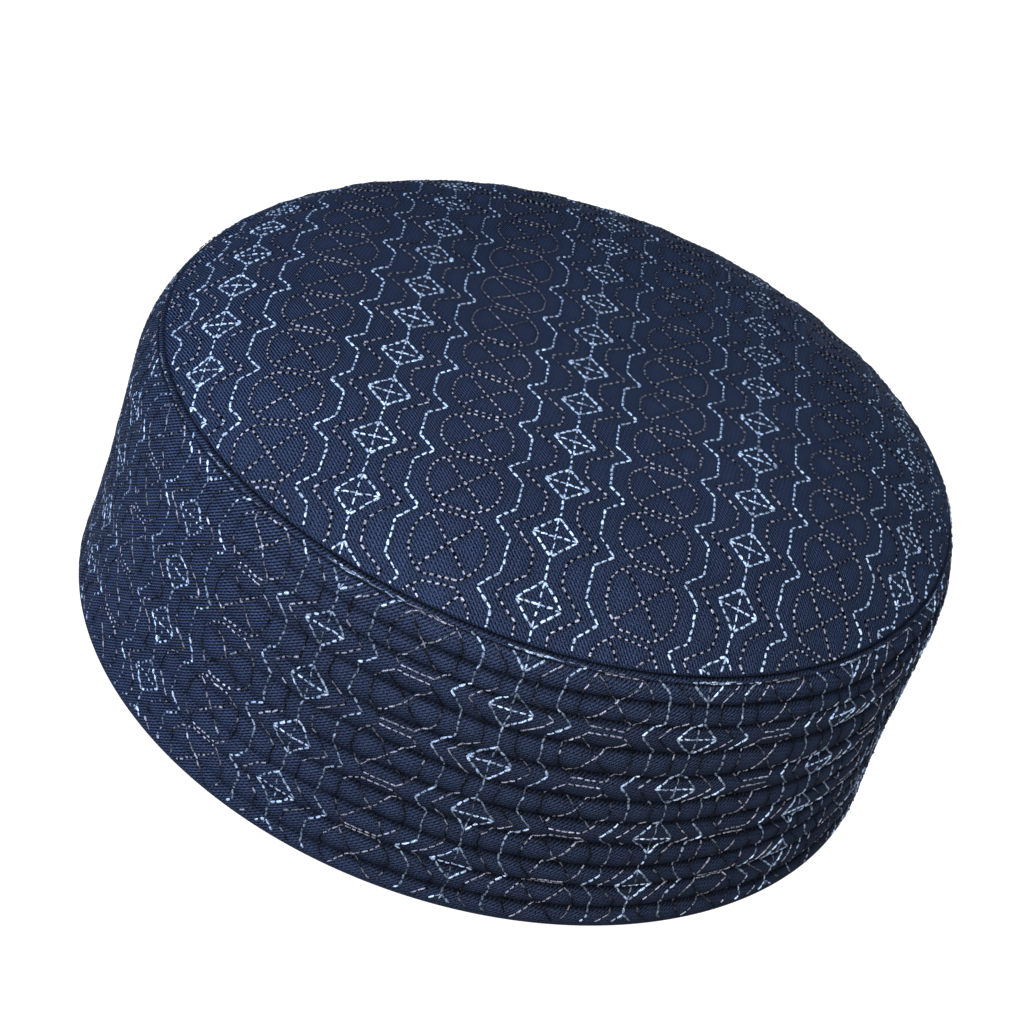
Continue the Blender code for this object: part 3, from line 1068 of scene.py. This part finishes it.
# Stage
def add_camera():
    data = bpy.data.cameras.new("camera")
    data.lens = CAMERA_LENS
    data.sensor_width = SENSOR_WIDTH
    camera = bpy.data.objects.new("camera", data)
    turn = Matrix.Rotation(math.radians(CAMERA_HEADING), 4, "Z")
    turn @= Matrix.Rotation(math.radians(90.0 - CAMERA_DOWN), 4, "X")
    turn @= Matrix.Rotation(math.radians(CAMERA_ROLL), 4, "Z")
    camera.matrix_world = Matrix.Translation(Vector(CAMERA_PLACE) * MM) @ turn
    bpy.context.scene.collection.objects.link(camera)
    bpy.context.scene.camera = camera


def add_lamp(lamp):
    data = bpy.data.lights.new(lamp.name, "AREA")
    data.shape = "DISK"
    data.size = lamp.size * MM
    data.energy = lamp.power
    data.color = lamp.colour
    item = bpy.data.objects.new(lamp.name, data)
    spot = Vector(lamp.place) * MM
    aim = Vector((0.0, 0.0, SEAM_HEIGHT * MM)) - spot
    turn = aim.to_track_quat("-Z", "Y").to_matrix().to_4x4()
    item.matrix_world = Matrix.Translation(spot) @ turn
    item.visible_camera = False
    item.visible_glossy = lamp.glossy
    bpy.context.scene.collection.objects.link(item)


def paper_shape():
    """Points and faces of a round floor that turns up into a wall."""
    turns = np.arange(STAGE_STEPS) * 2.0 * np.pi / STAGE_STEPS
    section = [(FLOOR_RADIUS, 0.0)]
    for degrees in WALL_BENDS:
        bend = math.radians(degrees)
        radius = FLOOR_RADIUS + WALL_BEND * math.sin(bend)
        section.append((radius, WALL_BEND * (1.0 - math.cos(bend))))
    points = [np.zeros((1, 3))]
    for radius, height in section:
        level = np.full(STAGE_STEPS, height)
        points.append(np.stack([radius * np.cos(turns), radius * np.sin(turns), level], -1))
    here = 1 + np.arange(STAGE_STEPS)
    faces = [[0, a, b] for a, b in zip(here, np.roll(here, -1))]
    for row in range(len(section) - 1):
        faces += ring_faces(here + row * STAGE_STEPS, here + (row + 1) * STAGE_STEPS)
    return np.concatenate(points), faces


def add_stage():
    """White paper that lights nothing but itself, a faint world and the soft lamps."""
    nodes = Nodes("white_paper")
    nodes.shader.inputs["Base Color"].default_value = PAPER_COLOUR
    nodes.shader.inputs["Roughness"].default_value = 1.0
    nodes.shader.inputs["Specular IOR Level"].default_value = 0.0
    nodes.shader.inputs["Emission Color"].default_value = WHITE
    nodes.shader.inputs["Emission Strength"].default_value = PAPER_GLOW
    paper = new_object("paper", *paper_shape(), nodes.material)
    lit = bpy.data.collections.new("lit_by_paper")
    lit.objects.link(paper)
    paper.light_linking.receiver_collection = lit
    world = bpy.data.worlds.new("studio")
    world.use_nodes = True
    background = world.node_tree.nodes["Background"]
    background.inputs["Color"].default_value = WHITE
    background.inputs["Strength"].default_value = WORLD_GLOW
    bpy.context.scene.world = world
    bpy.context.scene.view_settings.view_transform = "Standard"
    for lamp in LAMPS:
        add_lamp(lamp)


# The cap
def add_cap():
    """Both cloths and all embroidery, the stitches first because they pucker the cloth."""
    crown_twill, band_twill = cloth_material(CROWN_TWILL), cloth_material(BAND_TWILL)
    blue, grey = thread_material(BLUE_YARN), thread_material(GREY_YARN)
    navy = thread_material(NAVY_YARN)
    crown_blue = crown_stitches(blue_runs(), False, BLUE_PAINTED_SHADE, BLUE_FAR)
    crown_grey = np.concatenate(
        [
            crown_stitches(grey_runs(), False, GREY_PAINTED_SHADE, GREY_FAR),
            crown_stitches(circle_runs(), True, GREY_PAINTED_SHADE, GREY_FAR),
        ]
    )
    band_blue = band_stitches(blue_runs(), False, **BLUE_BAND)
    band_grey = np.concatenate(
        [
            band_stitches(grey_runs(), False, **GREY_BAND),
            band_stitches(circle_runs(), True, **GREY_BAND),
        ]
    )
    lip_grey = lip_stitches(grey_travel_runs())
    lip_blue = lip_stitches(travel_runs())
    sewn = [
        sew("crown_blue_stitches", crown_blue, crown_surface, BLUE_THREAD, blue),
        sew("crown_grey_stitches", crown_grey, crown_surface, GREY_THREAD, grey),
        sew("band_blue_stitches", band_blue, band_surface, BLUE_THREAD, blue),
        sew("band_grey_stitches", band_grey, band_surface, GREY_THREAD, grey),
        sew("band_lip_blue_stitches", lip_blue, band_surface, BLUE_THREAD, blue),
        sew("band_lip_grey_stitches", lip_grey, band_surface, GREY_THREAD, grey),
        sew("band_quilting_stitches", quilting_stitches(), band_surface, GREY_THREAD, navy),
    ]
    crown = build_crown(np.concatenate([crown_blue, crown_grey]), crown_twill)
    band = build_band(np.concatenate([band_blue, band_grey]), band_twill)
    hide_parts("crown_top")
    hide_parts("side_band")
    for piece in [crown, band, *sewn]:
        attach(piece, "root")


add_camera()
add_stage()
add_cap()
bpy.context.view_layer.update()
